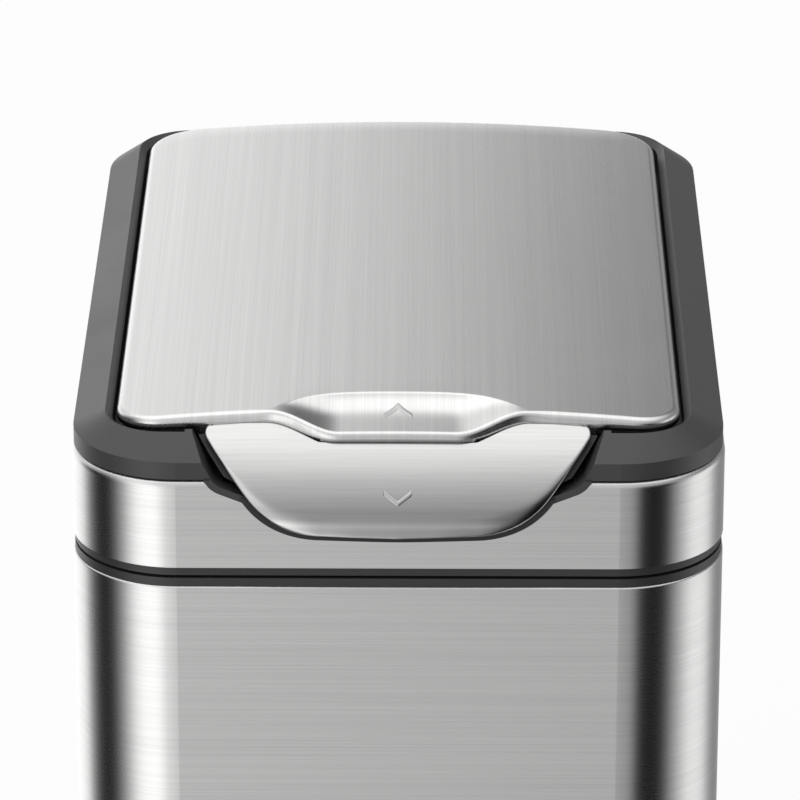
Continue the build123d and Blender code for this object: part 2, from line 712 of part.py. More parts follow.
hinge_pocket_half_width = bracket_outer_start + bracket_thickness + 2 * clearance
key_start = damper_length / 2 + knuckle_gap
with BuildPart() as lid_liner:
    add(lid_solid(liner_inset, liner_inset, liner_bottom))
    add(lid_solid(liner_inset + liner_wall, 0, liner_bottom + liner_floor), mode=Mode.SUBTRACT)
    hinge_room_front = bracket_front - bracket_room
    hinge_room_rear = lid_rear - liner_inset - liner_wall / 2
    with BuildSketch(Plane.XY.offset(liner_bottom - run_out)) as hinge_room:
        with Locations((0, (hinge_room_front + hinge_room_rear) / 2)):
            Rectangle(2 * hinge_pocket_half_width, hinge_room_rear - hinge_room_front)
    extrude(hinge_room.sketch, amount=lid_top - liner_bottom, mode=Mode.SUBTRACT)
    web_front = hinge_room_front - bracket_room
    knuckle_web = (
        (web_front, liner_bottom), (web_front, liner_bottom + liner_floor + knuckle_web_step),
        (hinge_y, hinge_z + knuckle_tuck), (hinge_y, hinge_z), (hinge_y - knuckle_tuck, liner_bottom),
    )
    for start in both_sides(knuckle_start, knuckle_length):
        side_plate(knuckle_web, start, knuckle_length)
        cross_rod(hinge_y, hinge_z, knuckle_radius, start, knuckle_length)
        pin_hole(hinge_y, hinge_z, hinge_pin / 2 + pin_clearance, start, knuckle_length)
    side_plate(knuckle_web, key_start, damper_key_length)
    cross_rod(hinge_y, hinge_z, knuckle_radius, key_start, damper_key_length)
    pin_hole(hinge_y, hinge_z, damper_shaft_radius + screw_clearance, key_start, damper_key_length)
    screw_top = liner_bottom + small_screw_length - striker_sheet
    for x in striker_screw_x:
        upright_rod(x, striker_screw_y, small_boss_radius, liner_bottom, screw_top + overlap)
        upright_rod(
            x, striker_screw_y, small_screw_radius + screw_clearance, liner_bottom - run_out, screw_top,
            Mode.SUBTRACT,
        )
finish(lid_liner, "lid_liner")

with BuildPart() as lid_seal:
    seal_overlap = (seal_width - wall) / 2
    mouth_block(wall + seal_overlap, collar_top + clearance, liner_bottom)
    mouth_block(-seal_overlap, collar_top + clearance, liner_bottom, Mode.SUBTRACT)
finish(lid_seal, "lid_seal")

# ---------------------------------------------------------------- lid hinge: pins, springs, damper
with BuildPart() as hinge_pins:
    pin_length = bracket_outer_start + bracket_thickness - bracket_inner_start
    for start in both_sides(bracket_inner_start, pin_length):
        cross_rod(hinge_y, hinge_z, hinge_pin / 2, start, pin_length)
finish(hinge_pins, "hinge_pins")

spring_radius = (hinge_pin / 2 + knuckle_radius - spring_wire) / 2 + spring_wire / 2
with BuildPart() as hinge_springs:
    for start in both_sides(knuckle_start - knuckle_gap - spring_length, spring_length):
        cross_rod(hinge_y, hinge_z, spring_radius + spring_wire / 2, start, spring_length)
        cross_rod(hinge_y, hinge_z, spring_radius - spring_wire / 2, start, spring_length, Mode.SUBTRACT)
finish(hinge_springs, "hinge_springs")

with BuildPart() as damper_housing:
    damper_foot = [(y, max(z, well_floor)) for y, z in hinge_bracket]
    side_plate(damper_foot, -damper_length / 2, damper_length)
    cross_rod(hinge_y, hinge_z, knuckle_radius, -damper_length / 2, damper_length)
    bore_length = damper_length / 2 - damper_bore_start + run_out
    bore_radius = damper_shaft_radius + pin_clearance
    cross_rod(hinge_y, hinge_z, bore_radius, damper_bore_start, bore_length, Mode.SUBTRACT)
finish(damper_housing, "damper_housing")

with BuildPart() as damper_shaft:
    shaft_start = damper_bore_start + clearance
    shaft_length = key_start + damper_key_length - shaft_start
    cross_rod(hinge_y, hinge_z, damper_shaft_radius, shaft_start, shaft_length)
finish(damper_shaft, "damper_shaft")

with BuildPart() as lid_bumpers:
    bumper_x = lid_half_width - bumper_side_inset
    bumper_y = lid_front + bumper_front_inset
    for x in (-bumper_x, bumper_x):
        upright_rod(x, bumper_y, bumper_radius, well_floor, liner_bottom - clearance)
finish(lid_bumpers, "lid_bumpers")


# ---------------------------------------------------------------- push lever
start_angle = radians(lever_start_angle)
end_angle = radians(lever_end_angle)
square = radians(90)
curve_y = front_face + lever_top_setback + lever_curve_radius * sin(start_angle)
curve_z = ridge_z + lever_top_rise - lever_curve_radius * cos(start_angle)
roll_y = curve_y - (lever_curve_radius - lever_roll_radius) * sin(end_angle)
roll_z = curve_z + (lever_curve_radius - lever_roll_radius) * cos(end_angle)
lever_front = roll_y - lever_roll_radius
lever_bottom = band_top - lever_drop


def curve_point(angle, depth_in):
    """Point (y, z) on the lever's side curve, depth_in behind its face."""
    radius = lever_curve_radius - depth_in
    return (curve_y - radius * sin(angle), curve_z + radius * cos(angle))


def roll_point(angle, depth_in):
    """Point (y, z) on the roll towards the lever's lower edge, depth_in behind its face."""
    radius = lever_roll_radius - depth_in
    return (roll_y - radius * sin(angle), roll_z + radius * cos(angle))


def profile_arc(point, first_angle, last_angle, depth_in):
    """Arc of the lever's side profile, depth_in behind its face, between two slopes."""
    middle_angle = (first_angle + last_angle) / 2
    ThreePointArc(point(first_angle, depth_in), point(middle_angle, depth_in), point(last_angle, depth_in))


def lever_layer(front_depth, rear_depth, bottom):
    """A layer of the lever between two depths behind its face, bowed across the front."""
    with BuildPart() as layer:
        with BuildSketch(Plane.YZ) as side:
            with BuildLine():
                profile_arc(curve_point, start_angle, end_angle, front_depth)
                profile_arc(roll_point, end_angle, square, front_depth)
                Polyline(
                    roll_point(square, front_depth), (lever_front + front_depth, bottom),
                    (lever_front + rear_depth, bottom), roll_point(square, rear_depth),
                )
                profile_arc(roll_point, square, end_angle, rear_depth)
                profile_arc(curve_point, end_angle, start_angle, rear_depth)
                Line(curve_point(start_angle, rear_depth), curve_point(start_angle, front_depth))
            make_face()
        bow_axis = Axis((0, lever_front + lever_bow_radius, 0), (0, 0, 1))
        revolve(side.sketch, axis=bow_axis, revolution_arc=lever_bow_angle)
        mirror(about=Plane.YZ)
    return layer.part


def lever_outline(growth):
    """Prism of the lever's outline in the front view, grown by growth, from in front of it to the mouth."""
    outline_front = lever_front - run_out
    outline_top = ridge_z + lever_top_rise + lever_outline_rise
    corner_z = lever_bottom + lever_bottom_sag
    with BuildPart() as prism:
        with BuildSketch(Plane.XZ.offset(-outline_front)) as outline:
            Polygon(
                (0, lever_bottom), (lever_bottom_half_width, corner_z), (lever_top_half_width, outline_top),
                (-lever_top_half_width, outline_top), (-lever_bottom_half_width, corner_z),
                align=None,
            )
            levels = outline.vertices().group_by(Axis.Y)
            fillet(levels[0], lever_bottom_bend)
            corners = outline.vertices().filter_by_position(Axis.Y, corner_z - web_tuck, corner_z + web_tuck)
            fillet(corners, lever_lower_corner)
            fillet(outline.vertices().group_by(Axis.Y)[-1], lever_upper_corner)
            if growth:
                offset(amount=growth, kind=Kind.INTERSECTION)
        extrude(outline.sketch, amount=outline_front - mouth_front)
    return prism.part


def lever_keep_out():
    """Room that the lever leaves free: under the lid's edge, and round the recess's edge."""
    with BuildPart() as room:
        with BuildSketch(Plane.XY.offset(lid_skirt_bottom - lever_lid_gap)) as lid_shadow:
            add(lid_plan(lever_lid_gap))
        extrude(lid_shadow.sketch, amount=lid_top - lid_skirt_bottom)
        slab_front = front_face - lever_press_gap
        slab_bottom = lever_bottom - lever_drop
        with BuildPart(mode=Mode.PRIVATE) as behind_face:
            with BuildSketch(Plane.XY.offset(slab_bottom)) as slab:
                with Locations((0, (slab_front + pocket_front) / 2)):
                    Rectangle(width, pocket_front - slab_front)
            extrude(slab.sketch, amount=ridge_z - lever_ridge_gap - slab_bottom)
            recess_prism(-lever_press_room, slab_front - run_out, mouth_front, Mode.SUBTRACT)
        add(behind_face.part)
    return room.part


keep_out = lever_keep_out()
below_lever = lever_bottom - 2 * run_out
with BuildPart() as lever_skin:
    add(lever_layer(0, lever_flange, below_lever))
    add(lever_outline(0), mode=Mode.INTERSECT)
    with BuildPart(mode=Mode.PRIVATE) as skin_hollow:
        add(lever_layer(lever_sheet, lever_flange + run_out, below_lever))
        add(lever_outline(-lever_sheet), mode=Mode.INTERSECT)
    add(skin_hollow.part, mode=Mode.SUBTRACT)
    add(keep_out, mode=Mode.SUBTRACT)
finish(lever_skin, "lever_skin")

carrier_front = lever_flange + skin_gap
finger_start = latch_width / 2 + finger_side_gap
finger_bottom = well_floor + finger_rise
finger_top = lid_skirt_bottom - finger_lid_gap
finger_rear = recess_rear + finger_bar_reach
bar_front = recess_rear + clearance
bar_top = finger_bottom + finger_bar_height
root_y = front_face + finger_root_setback
boss_tuck = pivot_boss_radius - web_tuck
pivot_arm = (
    (front_face + arm_root_setback, pivot_z + arm_root_rise),
    (front_face + arm_top_setback, lid_skirt_bottom - arm_lid_gap),
    (pivot_y, pivot_z + boss_tuck), (pivot_y, pivot_z - boss_tuck),
)
finger = (
    (root_y, finger_bottom), (root_y, finger_bottom + finger_root),
    (front_face + finger_top_setback, finger_top), (finger_rear, finger_top - finger_fall),
    (finger_rear, finger_bottom), (recess_rear - finger_heel_gap, finger_bottom),
    (front_face + finger_heel_setback, finger_bottom - finger_heel_drop),
)
finger_bar = (
    (bar_front, finger_bottom), (finger_rear, finger_bottom), (finger_rear, bar_top), (bar_front, bar_top),
)
with BuildPart() as lever_carrier:
    add(lever_layer(carrier_front, carrier_front + carrier_thickness, below_lever - carrier_peek))
    add(lever_outline(carrier_peek), mode=Mode.INTERSECT)
    with BuildSketch(Plane.XY.offset(ridge_z)) as upper_limit:
        Rectangle(width, 2 * depth)
    extrude(upper_limit.sketch, amount=lid_top - ridge_z, mode=Mode.SUBTRACT)
    add(keep_out, mode=Mode.SUBTRACT)
    for start in both_sides(pivot_arm_start, pivot_arm_width):
        side_plate(pivot_arm, start, pivot_arm_width)
        cross_rod(pivot_y, pivot_z, pivot_boss_radius, start, pivot_arm_width)
        pin_hole(pivot_y, pivot_z, pivot_pin / 2 + pin_clearance, start, pivot_arm_width)
    for start in both_sides(finger_start, finger_width):
        side_plate(finger, start, finger_width)
    side_plate(finger_bar, -finger_start, 2 * finger_start)
finish(lever_carrier, "lever_carrier")

with BuildPart() as lever_pin:
    pin_end = pivot_rib_start + pivot_rib_width + pivot_pin_end
    cross_rod(pivot_y, pivot_z, pivot_pin / 2, -pin_end, 2 * pin_end)
finish(lever_pin, "lever_pin")

# ---------------------------------------------------------------- latch between lever and lid
leaf_front = recess_rear - latch_sheet
leaf = (
    (leaf_front, latch_foot), (recess_rear, latch_foot), (recess_rear, latch_tip_z),
    (latch_tip_rear, latch_tip_z), (latch_tip_rear, latch_tip_z + latch_sheet),
    (leaf_front, latch_tip_z + latch_sheet),
)
with BuildPart() as latch_spring:
    side_plate(leaf, -latch_width / 2, latch_width)
    for x in latch_screw_x:
        rear_rod(
            x, latch_screw_z, small_screw_radius + screw_clearance,
            leaf_front - run_out, latch_sheet + 2 * run_out, Mode.SUBTRACT,
        )
finish(latch_spring, "latch_spring")

with BuildPart() as latch_screws:
    for x in latch_screw_x:
        head_front = leaf_front - small_screw_head_height
        rear_rod(x, latch_screw_z, small_screw_head_radius, head_front, small_screw_head_height)
        rear_rod(x, latch_screw_z, small_screw_radius, leaf_front, latch_sheet + wall - clearance)
finish(latch_screws, "latch_screws")

foot_top = latch_tip_z - striker_top_gap
foot_front = latch_tip_rear - latch_overlap
striker_rear = foot_front + striker_reach
striker_base = liner_bottom - striker_sheet
flange_front = lid_front + striker_flange_inset
striker = (
    (foot_front, foot_top - striker_sheet), (striker_rear, foot_top - striker_sheet),
    (striker_rear, liner_bottom), (flange_front, liner_bottom), (flange_front, striker_base),
    (striker_rear - striker_sheet, striker_base), (striker_rear - striker_sheet, foot_top),
    (foot_front, foot_top),
)
with BuildPart() as lid_striker:
    side_plate(striker, -striker_width / 2, striker_width)
    for x in striker_screw_x:
        upright_rod(
            x, striker_screw_y, small_screw_radius + screw_clearance,
            striker_base - run_out, liner_bottom + run_out, Mode.SUBTRACT,
        )
finish(lid_striker, "lid_striker")

with BuildPart() as striker_screws:
    for x in striker_screw_x:
        head_bottom = striker_base - small_screw_head_height
        upright_rod(x, striker_screw_y, small_screw_radius, striker_base, striker_base + small_screw_length)
        upright_rod(x, striker_screw_y, small_screw_head_radius, head_bottom, striker_base)
finish(striker_screws, "striker_screws")
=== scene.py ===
"""Push top countertop bin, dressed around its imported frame: finishes, pressed sheets and studio.

Metres. The front, with the push lever, faces -Y.
"""

import json
from math import cos, exp, radians, sin, sqrt

import bmesh
import bpy
from mathutils import Matrix, Vector


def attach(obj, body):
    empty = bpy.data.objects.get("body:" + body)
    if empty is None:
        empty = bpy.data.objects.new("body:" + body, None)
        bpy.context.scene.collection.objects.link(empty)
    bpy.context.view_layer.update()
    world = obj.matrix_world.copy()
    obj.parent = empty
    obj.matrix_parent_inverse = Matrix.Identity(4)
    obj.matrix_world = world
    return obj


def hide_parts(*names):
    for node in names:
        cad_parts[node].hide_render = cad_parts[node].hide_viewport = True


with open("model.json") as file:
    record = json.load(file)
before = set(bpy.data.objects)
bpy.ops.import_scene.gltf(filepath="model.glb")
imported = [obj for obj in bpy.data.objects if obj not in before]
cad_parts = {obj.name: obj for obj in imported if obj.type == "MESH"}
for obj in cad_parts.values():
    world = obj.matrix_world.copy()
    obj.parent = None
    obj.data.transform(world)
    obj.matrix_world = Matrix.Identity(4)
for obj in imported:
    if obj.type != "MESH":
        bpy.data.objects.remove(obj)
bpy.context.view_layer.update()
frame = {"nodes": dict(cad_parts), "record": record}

MM = 0.001
nodes = frame["nodes"]
scene = bpy.context.scene
scene.view_settings.view_transform = "Standard"

# ---------------------------------------------------------------- camera
VIEW_ELEVATION = radians(22.412)
VIEW_AZIMUTH = radians(0.258)
VIEW_ROLL = radians(-0.085)
VIEW_DISTANCE = 1.9153
VIEW_TARGET = Vector((0, 0, 0.21699))
LENS_MM = 264.55
SENSOR_MM = 36.0

camera_data = bpy.data.cameras.new("product_camera")
camera_data.sensor_width = SENSOR_MM
camera_data.lens = LENS_MM
camera_data.clip_end = 20
camera = bpy.data.objects.new("product_camera", camera_data)
scene.collection.objects.link(camera)
to_camera = Vector((
    sin(VIEW_AZIMUTH) * cos(VIEW_ELEVATION),
    -cos(VIEW_AZIMUTH) * cos(VIEW_ELEVATION),
    sin(VIEW_ELEVATION),
))
camera.matrix_world = (
    Matrix.Translation(VIEW_TARGET + VIEW_DISTANCE * to_camera)
    @ to_camera.to_track_quat("Z", "Y").to_matrix().to_4x4()
    @ Matrix.Rotation(-VIEW_ROLL, 4, "Z")
)
scene.camera = camera


# ---------------------------------------------------------------- node helpers
def group_tree(name, inputs, outputs):
    """A new shader node group; returns its tree and what its inputs give and its outputs take."""
    tree = bpy.data.node_groups.new(name, "ShaderNodeTree")
    for label, kind, value in inputs:
        socket = tree.interface.new_socket(label, in_out="INPUT", socket_type="NodeSocket" + kind)
        if value is not None:
            socket.default_value = value
    for label, kind in outputs:
        tree.interface.new_socket(label, in_out="OUTPUT", socket_type="NodeSocket" + kind)
    entry = tree.nodes.new("NodeGroupInput")
    leave = tree.nodes.new("NodeGroupOutput")
    return tree, entry.outputs, leave.inputs


def value_of(tree, source, socket):
    """Sets a socket from another socket or from a plain value."""
    if isinstance(source, bpy.types.NodeSocket):
        tree.links.new(source, socket)
    else:
        socket.default_value = source


def maths(tree, operation, first, second=0.0, third=0.0):
    node = tree.nodes.new("ShaderNodeMath")
    node.operation = operation
    for source, socket in zip((first, second, third), node.inputs):
        value_of(tree, source, socket)
    return node.outputs[0]


def scaled(tree, vector, factor):
    node = tree.nodes.new("ShaderNodeVectorMath")
    node.operation = "MULTIPLY"
    value_of(tree, vector, node.inputs[0])
    value_of(tree, factor, node.inputs[1])
    return node.outputs[0]


def noise(tree, vector, scale, detail, roughness):
    node = tree.nodes.new("ShaderNodeTexNoise")
    value_of(tree, vector, node.inputs["Vector"])
    value_of(tree, scale, node.inputs["Scale"])
    value_of(tree, detail, node.inputs["Detail"])
    value_of(tree, roughness, node.inputs["Roughness"])
    return node.outputs["Fac"]


def ramp(tree, source, low, high, out_low, out_high, smooth=False):
    node = tree.nodes.new("ShaderNodeMapRange")
    node.interpolation_type = "SMOOTHSTEP" if smooth else "LINEAR"
    for value, socket in zip((source, low, high, out_low, out_high), node.inputs):
        value_of(tree, value, socket)
    return node.outputs[0]


# ---------------------------------------------------------------- shared effects
STEEL_TINT = (1.0, 0.997, 0.992)
# Noise patterns: scale, detail, roughness
FINE_LINES, WIDE_LINES, SMUDGES = (1.0, 3.0, 0.65), (0.17, 2.0, 0.6), (14.0, 3.0, 0.55)
CLOUDS = (22.0, 4.0, 0.6)
GRAIN_DETAIL, GRAIN_ROUGHNESS = 2.0, 0.6
NOISE_LOW, NOISE_HIGH = 0.3, 0.7  # most of a noise pattern lies between these


def brushed_grain_group():
    """Brushed lines along one axis: Stretch is how many lines per metre lie along each axis."""
    tree, given, out = group_tree(
        "brushed_grain",
        [("Vector", "Vector", None), ("Stretch", "Vector", (1, 1, 1)), ("Tone", "Float", 0.6),
         ("Contrast", "Float", 0.1), ("Roughness", "Float", 0.3), ("Roughness Spread", "Float", 0.03)],
        [("Color", "Color"), ("Roughness", "Float"), ("Height", "Float")],
    )
    fine = noise(tree, scaled(tree, given["Vector"], given["Stretch"]), *FINE_LINES)
    wide = noise(tree, scaled(tree, given["Vector"], given["Stretch"]), *WIDE_LINES)
    smudge = noise(tree, given["Vector"], *SMUDGES)
    lines = maths(tree, "MULTIPLY_ADD", wide, 0.5, maths(tree, "SUBTRACT", fine, 0.75))
    tone = maths(tree, "MULTIPLY_ADD", lines, given["Contrast"], 1.0)
    tone = maths(tree, "MULTIPLY", tone, given["Tone"])
    colour = tree.nodes.new("ShaderNodeCombineColor")
    for socket, tint in zip(colour.inputs, STEEL_TINT):
        tree.links.new(maths(tree, "MULTIPLY", tone, tint), socket)
    tree.links.new(colour.outputs[0], out["Color"])
    uneven = maths(tree, "SUBTRACT", smudge, 0.5)
    rough = maths(tree, "MULTIPLY_ADD", uneven, given["Roughness Spread"], given["Roughness"])
    smoother = maths(tree, "MULTIPLY", given["Roughness Spread"], -1.0)
    rough = maths(tree, "MULTIPLY_ADD", lines, smoother, rough)
    tree.links.new(rough, out["Roughness"])
    tree.links.new(fine, out["Height"])
    return tree


def moulded_grain_group():
    """Fine spark-eroded grain of moulded plastic, with a faint unevenness of tone."""
    tree, given, out = group_tree(
        "moulded_grain",
        [("Vector", "Vector", None), ("Grain Size", "Float", 0.0006),
         ("Tone", "Color", (0.05, 0.05, 0.05, 1)), ("Roughness", "Float", 0.4)],
        [("Color", "Color"), ("Roughness", "Float"), ("Height", "Float")],
    )
    per_metre = maths(tree, "DIVIDE", 1.0, given["Grain Size"])
    grain = noise(tree, given["Vector"], per_metre, GRAIN_DETAIL, GRAIN_ROUGHNESS)
    cloud = noise(tree, given["Vector"], *CLOUDS)
    tint = tree.nodes.new("ShaderNodeHueSaturation")
    tree.links.new(ramp(tree, cloud, NOISE_LOW, NOISE_HIGH, 0.93, 1.07), tint.inputs["Value"])
    tree.links.new(given["Tone"], tint.inputs["Color"])
    tree.links.new(tint.outputs[0], out["Color"])
    patches = ramp(tree, cloud, NOISE_LOW, NOISE_HIGH, -0.03, 0.04)
    specks = ramp(tree, grain, NOISE_LOW, NOISE_HIGH, -0.03, 0.03)
    rough = maths(tree, "ADD", given["Roughness"], patches)
    tree.links.new(maths(tree, "ADD", rough, specks), out["Roughness"])
    tree.links.new(grain, out["Height"])
    return tree


BRUSHED_GRAIN = brushed_grain_group()
MOULDED_GRAIN = moulded_grain_group()


# ---------------------------------------------------------------- finishes
BRUSH_BUMP, BRUSH_DEPTH = 0.12, 0.02 * MM
MOULD_BUMP = 0.35


def new_material(name):
    material = bpy.data.materials.new(name)
    material.use_nodes = True
    tree = material.node_tree
    place = tree.nodes.new("ShaderNodeTexCoord").outputs["Object"]
    return material, tree, tree.nodes["Principled BSDF"], place


def bump(tree, shader, height, strength, distance):
    node = tree.nodes.new("ShaderNodeBump")
    node.inputs["Strength"].default_value = strength
    node.inputs["Distance"].default_value = distance
    tree.links.new(height, node.inputs["Height"])
    tree.links.new(node.outputs[0], shader.inputs["Normal"])


def set_stops(ramp_node, stations):
    """Gives a colour ramp its grey stops, from pairs of position and level."""
    stops = ramp_node.color_ramp.elements
    stops.remove(stops[0])
    for number, (position, level) in enumerate(stations):
        stop = stops[0] if number == 0 else stops.new(position)
        stop.position = position
        stop.color = (level, level, level, 1)


def brushed_steel(name, stretch, across, tone, contrast, roughness, anisotropic, bands=()):
    """Brushed sheet, whose highlights are drawn out along the direction across.

    stretch is how many brushed lines per metre there are along each axis. bands are heights in
    millimetres with how much of the tone is left there. They paint light and shade into the colour.
    """
    material, tree, shader, place = new_material(name)
    grain = tree.nodes.new("ShaderNodeGroup")
    grain.node_tree = BRUSHED_GRAIN
    tree.links.new(place, grain.inputs["Vector"])
    grain.inputs["Stretch"].default_value = stretch
    grain.inputs["Tone"].default_value = tone
    grain.inputs["Contrast"].default_value = contrast
    grain.inputs["Roughness"].default_value = roughness
    colour = grain.outputs["Color"]
    if bands:
        height = tree.nodes.new("ShaderNodeSeparateXYZ")
        tree.links.new(place, height.inputs[0])
        low, high = bands[0][0] * MM, bands[-1][0] * MM
        zones = tree.nodes.new("ShaderNodeValToRGB")
        tree.links.new(ramp(tree, height.outputs[2], low, high, 0.0, 1.0), zones.inputs[0])
        set_stops(zones, [((level * MM - low) / (high - low), share) for level, share in bands])
        colour = scaled(tree, colour, zones.outputs[0])
    tree.links.new(colour, shader.inputs["Base Color"])
    tree.links.new(grain.outputs["Roughness"], shader.inputs["Roughness"])
    bump(tree, shader, grain.outputs["Height"], BRUSH_BUMP, BRUSH_DEPTH)
    shader.inputs["Metallic"].default_value = 1.0
    shader.inputs["Anisotropic"].default_value = anisotropic
    direction = tree.nodes.new("ShaderNodeCombineXYZ")
    for socket, part in zip(direction.inputs, across):
        socket.default_value = part
    tree.links.new(direction.outputs[0], shader.inputs["Tangent"])
    return material


def moulded(name, tone, roughness, grain_size=0.6 * MM, depth=0.03 * MM, specular=0.5):
    material, tree, shader, place = new_material(name)
    grain = tree.nodes.new("ShaderNodeGroup")
    grain.node_tree = MOULDED_GRAIN
    tree.links.new(place, grain.inputs["Vector"])
    grain.inputs["Grain Size"].default_value = grain_size
    grain.inputs["Tone"].default_value = (*tone, 1)
    grain.inputs["Roughness"].default_value = roughness
    tree.links.new(grain.outputs["Color"], shader.inputs["Base Color"])
    tree.links.new(grain.outputs["Roughness"], shader.inputs["Roughness"])
    bump(tree, shader, grain.outputs["Height"], MOULD_BUMP, depth)
    shader.inputs["Specular IOR Level"].default_value = specular
    return material


# Heights up the lever in millimetres, and the share of its tone left there. These are painted
# stand-ins for reflections across its face, not part of the steel's finish; with () they are off.
LEVER_BANDS = (
    (235, 0.8), (237, 0.76), (238.4, 0.95), (240.2, 0.6), (242.5, 0.56), (247, 0.76), (253, 1.0),
)
ACROSS, UPWARDS = (1, 0, 0), (0, 0, 1)
# Steel: lines per metre along each axis, direction of highlights, tone, contrast, roughness,
# anisotropy
body_steel = brushed_steel("body_steel", (7, 7, 1700), UPWARDS, 0.66, 0.26, 0.27, 0.6)
lid_steel = brushed_steel("lid_steel", (1900, 5, 40), ACROSS, 0.68, 0.26, 0.27, 0.55)
lever_steel = brushed_steel(
    "lever_steel", (8, 1500, 1500), UPWARDS, 0.6, 0.18, 0.24, 0.6, LEVER_BANDS,
)
bright_wire = brushed_steel("bright_wire", (300, 300, 300), UPWARDS, 0.72, 0.05, 0.16, 0.0)
screw_steel = brushed_steel("screw_steel", (900, 900, 900), UPWARDS, 0.6, 0.1, 0.28, 0.0)
spring_steel = brushed_steel("spring_steel", (200, 1500, 1500), UPWARDS, 0.42, 0.14, 0.34, 0.3)
etched_mark = brushed_steel("etched_mark", (700, 700, 700), UPWARDS, 0.5, 0.1, 0.4, 0.0)
# Moulded pieces: tone, roughness, grain size, grain depth, share of mirror shine
rim_plastic = moulded("rim_plastic", (0.05, 0.05, 0.052), 0.42)
strip_plastic = moulded("strip_plastic", (0.032, 0.032, 0.033), 0.4)
black_plastic = moulded("black_plastic", (0.012, 0.012, 0.0125), 0.5)
bucket_plastic = moulded("bucket_plastic", (0.06, 0.06, 0.062), 0.36, 0.9 * MM, 0.02 * MM)
foot_rubber = moulded("foot_rubber", (0.018, 0.018, 0.018), 0.75, 0.8 * MM, 0.05 * MM, 0.3)
soft_rubber = moulded("soft_rubber", (0.03, 0.03, 0.03), 0.8, 0.5 * MM, 0.03 * MM, 0.3)

FINISHES = {
    "body_steel": body_steel, "lid_steel": lid_steel, "lever_steel": lever_steel,
    "rim_plastic": rim_plastic, "strip_plastic": strip_plastic, "black_plastic": black_plastic,
    "bucket_plastic": bucket_plastic, "foot_rubber": foot_rubber, "soft_rubber": soft_rubber,
    "bright_wire": bright_wire, "screw_steel": screw_steel, "spring_steel": spring_steel,
}
for entry in frame["record"]["subparts"]:
    mesh = nodes[entry["node"]].data
    mesh.materials.clear()
    mesh.materials.append(FINISHES[entry["material_slot"]])

# ---------------------------------------------------------------- pressed sheets
UP, FRONT = Vector((0, 0, 1)), Vector((0, -1, 0))
SAME_PLACE = 0.0002 * MM  # vertices of a grid closer than this are one


def blend(value, low, high):
    """0 below low, 1 above high, and a smooth rise between."""
    part = min(max((value - low) / (high - low), 0.0), 1.0)
    return part * part * (3 - 2 * part)


def spread(start, stop, count):
    return [start + (stop - start) * step / count for step in range(count + 1)]


def sheet_grid(columns, rows, place):
    """A bmesh grid whose vertices are set by place(column value, row value)."""
    sheet = bmesh.new()
    bmesh.ops.create_grid(sheet, x_segments=len(columns) - 1, y_segments=len(rows) - 1, size=0.5)
    for vertex in sheet.verts:
        column = round((vertex.co.x + 0.5) * (len(columns) - 1))
        row = round((vertex.co.y + 0.5) * (len(rows) - 1))
        vertex.co = place(columns[column], rows[row])
    bmesh.ops.remove_doubles(sheet, verts=sheet.verts, dist=SAME_PLACE)
    sheet.normal_update()
    return sheet


def rim_frames(sheet, facing):
    """For each vertex on the rim of a sheet that faces the given way: which way is outwards."""
    frames = {}
    for edge in sheet.edges:
        if not edge.is_boundary:
            continue
        first, second = edge.verts
        inward = edge.link_faces[0].calc_center_median() - (first.co + second.co) / 2
        outward = (second.co - first.co).cross(facing).normalized()
        if outward.dot(inward) > 0:
            outward = -outward
        for vertex in edge.verts:
            frames[vertex] = frames.get(vertex, Vector()) + outward
    return {vertex: total.normalized() for vertex, total in frames.items()}


def first_rim(sheet, facing):
    """The rim as it starts: for each vertex its place, which way is outwards, and which way it faces."""
    frames = rim_frames(sheet, facing)
    return {vertex: (vertex.co.copy(), outward, facing) for vertex, outward in frames.items()}


def draw_rim_out(sheet, rim, move):
    """Extrudes the rim once.

    rim holds three values for each vertex: where it started, which way is outwards, and one more that
    move uses. move(those three, where the vertex is now) gives the new place.
    """
    edges = [edge for edge in sheet.edges if edge.is_boundary]
    made = bmesh.ops.extrude_edge_only(sheet, edges=edges)["geom"]
    new = {item for item in made if isinstance(item, bmesh.types.BMVert)}
    next_rim = {}
    for vertex in new:
        beside = (edge.other_vert(vertex) for edge in vertex.link_edges)
        source = next(other for other in beside if other not in new)
        next_rim[vertex] = rim[source]
        vertex.co = move(*rim[source], source.co)
    return next_rim


def finished_piece(name, sheet, finish, facing):
    """Makes the bmesh an object whose open sheet faces the given way."""
    bmesh.ops.recalc_face_normals(sheet, faces=sheet.faces)
    if sum((face.normal * face.calc_area() for face in sheet.faces), Vector()).dot(facing) < 0:
        bmesh.ops.reverse_faces(sheet, faces=sheet.faces)
    mesh = bpy.data.meshes.new(name)
    sheet.to_mesh(mesh)
    sheet.free()
    mesh.polygons.foreach_set("use_smooth", [True] * len(mesh.polygons))
    mesh.materials.append(finish)
    piece = bpy.data.objects.new(name, mesh)
    scene.collection.objects.link(piece)
    return piece


